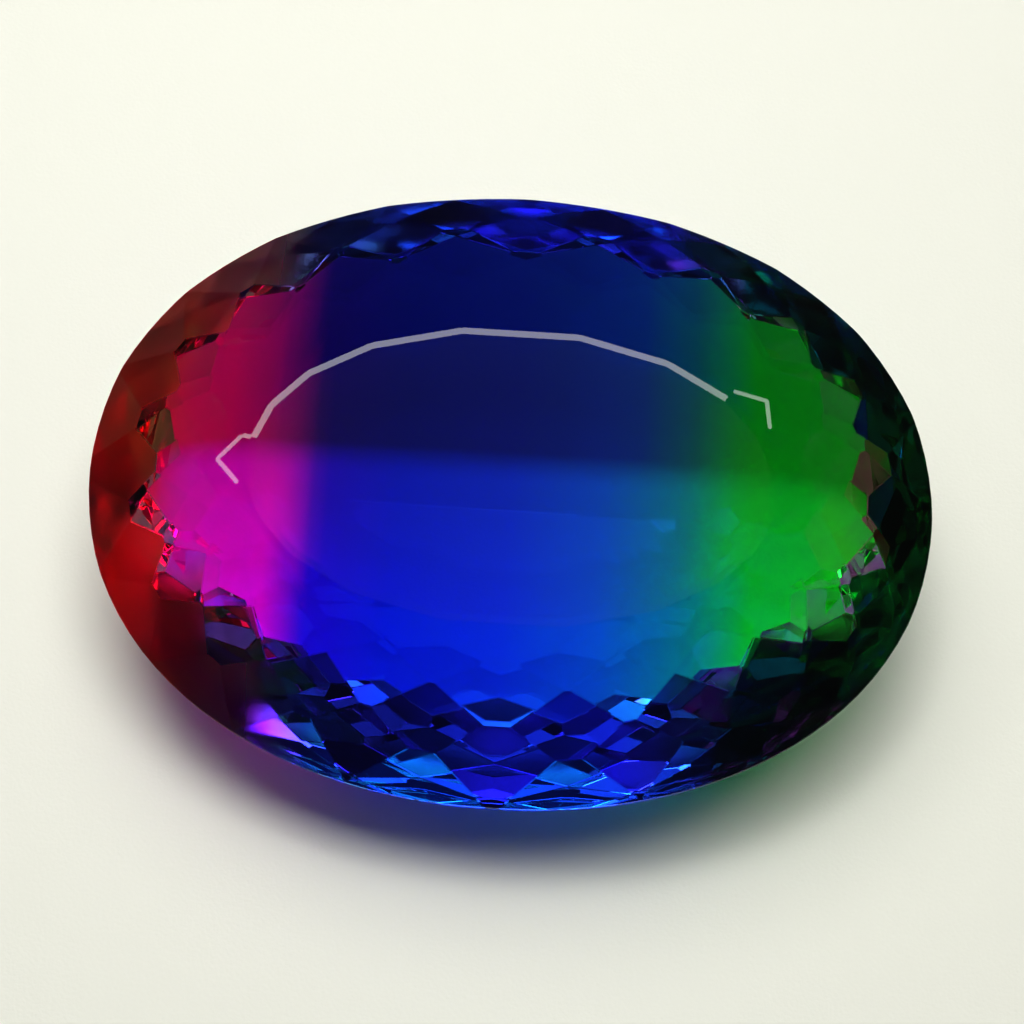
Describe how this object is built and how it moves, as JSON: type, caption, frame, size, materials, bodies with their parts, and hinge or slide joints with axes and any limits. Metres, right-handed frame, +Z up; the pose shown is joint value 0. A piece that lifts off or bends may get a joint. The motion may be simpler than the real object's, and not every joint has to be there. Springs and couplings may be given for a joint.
{
  "type": "faceted tourmaline",
  "caption": "Large oval cut gemstone in see-through crystal, pink at one end, blue in the middle and green at the other, with a wide flat table and rings of diamond facets.",
  "frame": {"origin": "centre of the bounding box at its base, on the plane that the stone rests on", "axes": "+X along the stone's length towards its green end, +Z up; the table leans 8 degrees towards -Y"},
  "size_m": [0.075, 0.0552, 0.0259],
  "materials": {
    "crystal": "polished"
  },
  "bodies": {
    "root": {"tourmaline": "crystal"}
  },
  "joints": []
}
